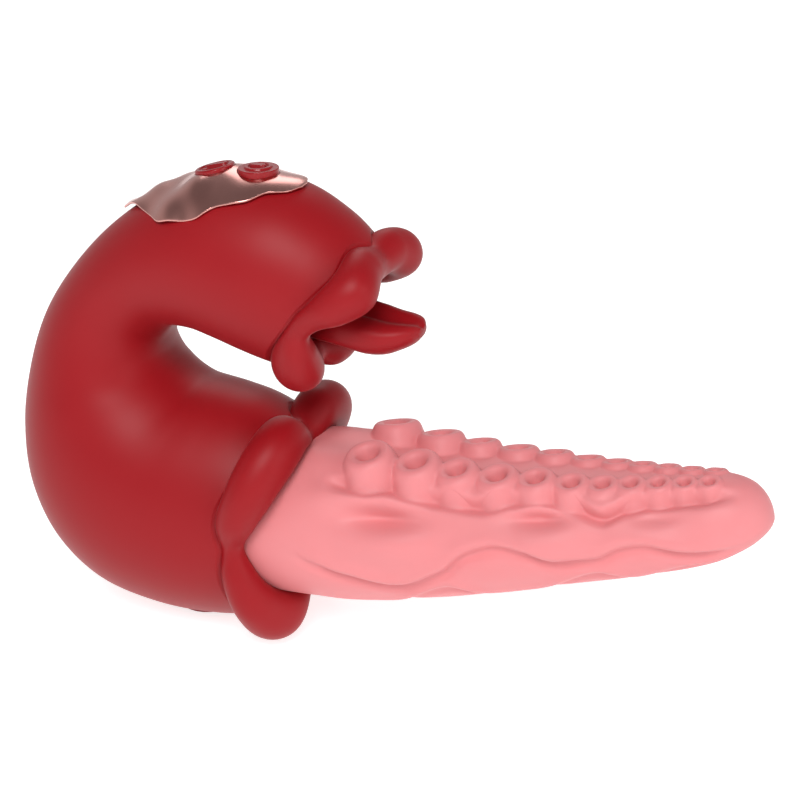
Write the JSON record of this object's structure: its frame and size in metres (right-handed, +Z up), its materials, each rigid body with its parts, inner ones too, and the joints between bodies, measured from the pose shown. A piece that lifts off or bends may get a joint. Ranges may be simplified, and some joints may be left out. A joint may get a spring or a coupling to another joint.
{
  "type": "personal massager",
  "caption": "Curved red silicone personal massager with a rose-gold control panel, a small swinging tongue and a tapering pink arm with rows of cups; adult product.",
  "frame": {"origin": "middle of the bottom of the bounding box", "axes": "+X along the pink arm towards its tip, +Z up through the control panel, Y across the width"},
  "size_m": [0.1727, 0.05, 0.1079],
  "materials": {
    "red_silicone": "satin",
    "pink_silicone": "satin",
    "rose_gold": "satin",
    "black_plastic": "matte",
    "grey_plastic": "matte",
    "white_plastic": "matte",
    "circuit_board": "satin",
    "steel": "brushed",
    "contact_gold": "polished",
    "battery_wrap": "gloss",
    "red_wire": "satin",
    "black_wire": "satin"
  },
  "bodies": {
    "chassis": {"body_skin": "red_silicone", "arm_sleeve": "pink_silicone", "mouth_web": "red_silicone", "control_panel": "rose_gold", "charge_pad": "black_plastic", "charge_contact_1": "contact_gold", "charge_contact_2": "contact_gold", "charge_board": "circuit_board", "chassis_left": "black_plastic", "chassis_right": "black_plastic", "chassis_screw_1": "steel", "chassis_screw_2": "steel", "chassis_screw_3": "steel", "chassis_screw_4": "steel", "main_board": "circuit_board", "controller_chip": "black_plastic", "power_switch": "grey_plastic", "mode_switch": "grey_plastic", "battery": "battery_wrap", "battery_tray": "grey_plastic", "tongue_pivot_pin": "steel", "arm_socket": "grey_plastic", "arm_core": "black_plastic", "arm_motor": "steel", "arm_motor_collar": "white_plastic", "core_screw_left": "steel", "core_screw_right": "steel", "battery_wire": "red_wire", "arm_motor_wire": "black_wire", "tongue_motor_wire": "black_wire", "charge_wire": "red_wire"},
    "tongue": {"tongue": "red_silicone", "tongue_carrier": "white_plastic", "tongue_motor": "steel"},
    "tongue_rotor": {"tongue_weight": "steel"},
    "arm_rotor": {"arm_weight": "steel"},
    "power_button": {"power_button": "red_silicone"},
    "mode_button": {"mode_button": "red_silicone"}
  },
  "joints": [
    {"name": "tongue_swing", "type": "hinge", "parent": "chassis", "child": "tongue", "pos_m": [-0.02355, 0, 0.07365], "axis": [0, 1, 0], "range_deg": [-8, 8], "stiffness_Nm_per_rad": 0.02},
    {"name": "tongue_rotor_spin", "type": "hinge", "parent": "tongue", "child": "tongue_rotor", "pos_m": [-0.02765, 0, 0.08035], "axis": [0, 1, 0], "continuous": true},
    {"name": "arm_rotor_spin", "type": "hinge", "parent": "chassis", "child": "arm_rotor", "pos_m": [-0.0217, 0, 0.02498], "axis": [0.9842, 0, 0.1771], "continuous": true},
    {"name": "power_press", "type": "slide", "parent": "chassis", "child": "power_button", "axis": [0.0349, 0, -0.9994], "range_m": [0, 0.0005], "stiffness_N_per_m": 800},
    {"name": "mode_press", "type": "slide", "parent": "chassis", "child": "mode_button", "axis": [0.2419, 0, -0.9703], "range_m": [0, 0.0005], "stiffness_N_per_m": 800}
  ]
}
